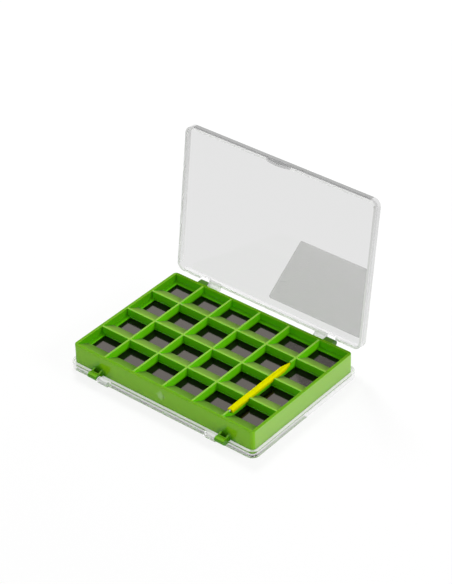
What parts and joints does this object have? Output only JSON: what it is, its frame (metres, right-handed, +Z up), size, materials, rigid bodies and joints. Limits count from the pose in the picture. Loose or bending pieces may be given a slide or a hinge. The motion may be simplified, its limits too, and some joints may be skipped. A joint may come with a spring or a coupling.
{
  "type": "terminal tackle box",
  "caption": "Double-sided tackle box: a divided tray with magnet sheets under ramped compartments, clear hinged lids above and below, and a pick-up stick.",
  "frame": {"origin": "middle of the flat underside, on the outer face of the lower lid", "axes": "+X along the hinge edges, +Y from the front wall to the back wall where the upper lid is hinged, +Z up"},
  "size_m": [0.1296, 0.1128, 0.1047],
  "materials": {
    "tray": "moulded, semi-gloss, green",
    "magnet_sheet": "smooth, glossy black ferrite-filled sheet",
    "lid": "clear, polished",
    "label": "translucent grey film, bare",
    "stick": "moulded, satin, yellow",
    "stick_magnet": "plated"
  },
  "bodies": {
    "tray": {"tray_upper_half": "tray", "tray_lower_half": "tray", "magnet_sheet_upper": "magnet_sheet", "magnet_sheet_lower": "magnet_sheet"},
    "upper_lid": {"upper_lid": "lid", "lid_label": "label"},
    "lower_lid": {"lower_lid": "lid"},
    "pick_up_stick": {"pick_up_stick": "stick", "stick_magnet": "stick_magnet"}
  },
  "joints": [
    {"name": "upper_lid_hinge", "type": "hinge", "parent": "tray", "child": "upper_lid", "pos_m": [0, 0.047, 0.0132], "axis": [-1, 0, 0], "range_deg": [-98, 0]},
    {"name": "lower_lid_hinge", "type": "hinge", "parent": "tray", "child": "lower_lid", "pos_m": [0, -0.047, 0.004], "axis": [-1, 0, 0], "range_deg": [0, 98]},
    {"name": "stick_lift", "type": "slide", "parent": "tray", "child": "pick_up_stick", "axis": [0, 0, 1], "range_m": [0, 0.03]}
  ]
}
